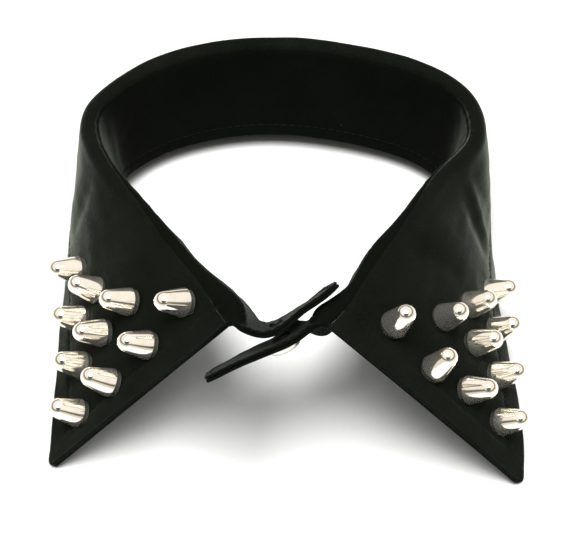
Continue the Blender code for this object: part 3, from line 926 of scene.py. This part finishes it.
def thread_material():
    """Black sewing thread with a slight twist."""
    made, tree, shader = new_material("thread")
    place = node(tree, "ShaderNodeTexCoord")
    twist = node(tree, "ShaderNodeTexNoise", Scale=4000.0, Detail=1.0)
    tree.links.new(place.outputs["Object"], twist.inputs["Vector"])
    tree.links.new(ramp(tree, twist.outputs["Fac"], 0.3, 0.7, (0.002, 0.002, 0.002), (0.012, 0.012, 0.011)), shader.inputs["Base Color"])
    bump = node(tree, "ShaderNodeBump", Strength=0.5, Distance=0.00005)
    tree.links.new(twist.outputs["Fac"], bump.inputs["Height"])
    tree.links.new(bump.outputs["Normal"], shader.inputs["Normal"])
    shader.inputs["Roughness"].default_value = 0.8
    shader.inputs["Specular IOR Level"].default_value = 0.05
    return made


def metal_material(name, tint, roughness, wear, metallic):
    """Polished plating with fine haze and rub marks."""
    made, tree, shader = new_material(name)
    place = node(tree, "ShaderNodeTexCoord")
    haze = node(tree, "ShaderNodeTexNoise", Scale=260.0, Detail=4.0, Roughness=0.6)
    tree.links.new(place.outputs["Object"], haze.inputs["Vector"])
    fine = node(tree, "ShaderNodeTexNoise", Scale=1900.0, Detail=2.0)
    tree.links.new(place.outputs["Object"], fine.inputs["Vector"])
    both = maths(tree, "MULTIPLY", haze.outputs["Fac"], fine.outputs["Fac"])
    spread = node(tree, "ShaderNodeMapRange")
    spread.inputs["From Min"].default_value = 0.12
    spread.inputs["From Max"].default_value = 0.40
    spread.inputs["To Min"].default_value = roughness
    spread.inputs["To Max"].default_value = roughness + wear
    tree.links.new(both, spread.inputs["Value"])
    tree.links.new(spread.outputs["Result"], shader.inputs["Roughness"])
    darker = tuple(0.9 * value for value in tint)
    tree.links.new(ramp(tree, haze.outputs["Fac"], 0.35, 0.65, darker, tint), shader.inputs["Base Color"])
    shader.inputs["Metallic"].default_value = metallic
    return made


def floor_material():
    """Plain white card."""
    made, tree, shader = new_material("white_card")
    place = node(tree, "ShaderNodeTexCoord")
    fibre = node(tree, "ShaderNodeTexNoise", Scale=700.0, Detail=2.0)
    tree.links.new(place.outputs["Object"], fibre.inputs["Vector"])
    tree.links.new(ramp(tree, fibre.outputs["Fac"], 0.3, 0.7, (0.86, 0.86, 0.85), (0.88, 0.88, 0.87)), shader.inputs["Base Color"])
    shader.inputs["Roughness"].default_value = 0.85
    shader.inputs["Specular IOR Level"].default_value = 0.1
    return made


# The collar.

leaf, band, band_source, leaf_source = cloth()
last = leaf_source[0][-1]
left_places = stud_places("left", LEFT_STUDS, *leaf_source, last)
right_places = stud_places("right", RIGHT_STUDS, *leaf_source, last)

leaf_fields = leaf_relief(leaf, [point for point, _, _ in left_places + right_places])
band_fields = band_relief(band, last)

leaf_cloth = cloth_material("leaf_cloth", (0.0018, 0.0026, 0.0014), (0.0062, 0.0080, 0.0050), 0.38)
# The band is the leaf's cloth with darker yarns and less sheen: painted shade for its inner faces, which the
# overhead light hardly reaches.
band_cloth_painted_shade = cloth_material("band_cloth_painted_shade", (0.0010, 0.0016, 0.0008), (0.0028, 0.0036, 0.0022), 0.11)
thread = thread_material()
silver = metal_material("silver_plating", (0.93, 0.88, 0.79), 0.08, 0.03, 0.92)
snap_silver = metal_material("snap_plating", (0.80, 0.77, 0.72), 0.14, 0.12, 1.0)
# The snap's socket, ball and back are painted near black: painted shade for the dark gap between the tabs.
snap_painted_shade = metal_material("snap_metal_painted_shade", (0.035, 0.035, 0.035), 0.45, 0.15, 1.0)

leaf_shell = shell("leaf_cloth", leaf, leaf_cloth)
band_shell = shell("band_cloth_painted_shade", band, band_cloth_painted_shade)
leaf_thread = stitches("leaf_topstitching", leaf_stitch_lines(leaf, *leaf_fields), thread, 3)
band_thread = stitches("band_stitching", band_stitch_lines(band, *band_fields), thread, 4)

pieces = [(leaf_shell, "leaf", "collar_cloth"), (band_shell, "band", "collar_cloth")]
for piece, cad_node, slot in pieces:
    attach(piece, "root")
    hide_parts(cad_node)
for piece in (leaf_thread, band_thread):
    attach(piece, "root")

for side, places, seed in (("left", left_places, 100), ("right", right_places, 200)):
    stud_points, stud_faces, screw_points, screw_faces = [], [], [], []
    for i, (point, out, axis) in enumerate(places):
        sunk = BASE_LIFT * math.sin(math.acos(min(axis @ out, 1.0)))
        foot = point + out * (LEAF_WALL / 2 + GAP + sunk)
        lathe(stud_points, stud_faces, STUD_OUTLINE, foot, axis, seed + i, 0.0016)
        lathe(screw_points, screw_faces, SCREW_OUTLINE, point - out * (LEAF_WALL / 2 + GAP), -out, seed + i)
    studs = mesh_object(f"bullet_studs_{side}", stud_points, stud_faces, silver, sharp=60)
    screws = mesh_object(f"stud_screws_{side}", screw_points, screw_faces, snap_silver, sharp=60)
    for piece, kind in ((studs, "stud"), (screws, "screw")):
        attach(piece, "root")
        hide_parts(*[f"{kind}_{side}_{i + 1}" for i in range(len(places))])

left_spot, left_in = spot(band_source[0], band_source[1][:, :-1], -SNAP_LEFT[0], SNAP_LEFT[1])
right_spot, right_in = spot(band_source[0], band_source[1][:, :-1], last + SNAP_RIGHT[0], SNAP_RIGHT[1])
face = BAND_WALL / 2 + GAP
deep = (np.linalg.norm(left_spot - right_spot) - 2 * face - SNAP_PLAY) / 2
socket_outline = (
    (SOCKET_WIDTH, -0.4),
    (SOCKET_WIDTH, 0.7 * deep),
    (0.8 * SOCKET_WIDTH, deep),
)
ball_outline = (
    (SOCKET_WIDTH, -0.4),
    (SOCKET_WIDTH, 0.3 * deep),
    (BALL_WIDTH, 0.5 * deep),
    (BALL_WIDTH, deep),
)
for name, outline, foot, axis, metal in (
    ("snap_cap", CAP_OUTLINE, right_spot - right_in * face, -right_in, snap_silver),
    ("snap_socket", socket_outline, right_spot + right_in * face, right_in, snap_painted_shade),
    ("snap_ball", ball_outline, left_spot - left_in * face, -left_in, snap_painted_shade),
    ("snap_back", BACK_OUTLINE, left_spot + left_in * face, left_in, snap_painted_shade),
):
    points, faces = [], []
    lathe(points, faces, outline, foot, axis, 7)
    piece = mesh_object(name + "_turned", points, faces, metal, sharp=45)
    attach(piece, "root")
    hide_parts(name)

# Floor, light and camera. The room is darker at its walls than overhead. What the metal mirrors is brighter,
# with a dark belt between two heights, and the photographer shows as dark within the second angle, in degrees.
# The light over the collar is given by its azimuth, elevation, distance, size and power.
ROOM_WALLS = (0.21, 0.21, 0.20)
ROOM_CEILING = (0.62, 0.62, 0.60)
MIRRORED_WALLS = (0.82, 0.76, 0.64)
MIRRORED_BELT = (0.09, 0.07, 0.05)
MIRRORED_CEILING = (1.02, 0.98, 0.90)
BELT_FOOT = (0.20, 0.27)
BELT_TOP = (0.42, 0.50)
PHOTOGRAPHER = (28.0, 20.0)
OVERHEAD = (-2.0, 76.0, 1.0, 0.6, 14.0)

bpy.ops.mesh.primitive_plane_add(size=5.0)
floor = bpy.context.object
floor.name = "floor"
floor.data.materials.append(floor_material())


def direction(azimuth, elevation):
    """The unit vector from the middle towards this azimuth and elevation."""
    a, e = math.radians(azimuth), math.radians(elevation)
    return np.array((math.sin(a) * math.cos(e), -math.cos(a) * math.cos(e), math.sin(e)))


def add_light(name, azimuth, elevation, distance, size, power):
    """A square soft light that faces the collar."""
    data = bpy.data.lights.new(name, "AREA")
    data.size = size
    data.energy = power
    made = bpy.data.objects.new(name, data)
    bpy.context.scene.collection.objects.link(made)
    way = direction(azimuth, elevation)
    made.location = Vector(way * distance)
    made.rotation_euler = Vector(way).to_track_quat("Z", "Y").to_euler()
    return made


world = bpy.data.worlds.new("studio")
bpy.context.scene.world = world
world.use_nodes = True
sky = world.node_tree
back = sky.nodes["Background"]
ray = node(sky, "ShaderNodeTexCoord")
height = node(sky, "ShaderNodeSeparateXYZ")
sky.links.new(ray.outputs["Generated"], height.inputs[0])
room = ramp(sky, height.outputs["Z"], 0.0, 1.0, ROOM_WALLS, ROOM_CEILING)
mirrored = ramp(sky, height.outputs["Z"], *BELT_FOOT, MIRRORED_WALLS, MIRRORED_BELT)
mirrored = ramp(sky, height.outputs["Z"], *BELT_TOP, mirrored, MIRRORED_CEILING)
path = node(sky, "ShaderNodeLightPath")
seen = node(sky, "ShaderNodeMix", data_type="RGBA")
sky.links.new(path.outputs["Is Glossy Ray"], seen.inputs["Factor"])
sky.links.new(room, seen.inputs["A"])
sky.links.new(mirrored, seen.inputs["B"])
aim = node(sky, "ShaderNodeVectorMath", operation="DOT_PRODUCT")
sky.links.new(ray.outputs["Generated"], aim.inputs[0])
aim.inputs[1].default_value = tuple(direction(AZIMUTH, ELEVATION))
low, high = (math.cos(math.radians(angle)) for angle in PHOTOGRAPHER)
near = node(sky, "ShaderNodeMapRange")
near.inputs["From Min"].default_value = low
near.inputs["From Max"].default_value = high
sky.links.new(aim.outputs["Value"], near.inputs["Value"])
there = maths(sky, "MULTIPLY", near.outputs["Result"], path.outputs["Is Glossy Ray"])
patch = node(sky, "ShaderNodeMix", data_type="RGBA")
sky.links.new(there, patch.inputs["Factor"])
sky.links.new(seen.outputs["Result"], patch.inputs["A"])
patch.inputs["B"].default_value = (0.02, 0.02, 0.02, 1)
sky.links.new(patch.outputs["Result"], back.inputs["Color"])

add_light("overhead", *OVERHEAD)

camera_data = bpy.data.cameras.new("camera")
camera_data.sensor_width = SENSOR
camera_data.lens = FOCAL_PIXELS / PICTURE_WIDTH * SENSOR
camera_data.shift_y = -PIXELS_UP / PICTURE_WIDTH
camera_data.clip_start = 0.02
camera = bpy.data.objects.new("camera", camera_data)
bpy.context.scene.collection.objects.link(camera)
target = (np.array(LOOKS_AT) + np.array(TO_MIDDLE)) * MM
camera.location = Vector(target + direction(AZIMUTH, ELEVATION) * DISTANCE * MM)
camera.rotation_euler = Vector(direction(AZIMUTH, ELEVATION)).to_track_quat("Z", "Y").to_euler()
bpy.context.scene.camera = camera
bpy.context.scene.view_settings.view_transform = "Standard"
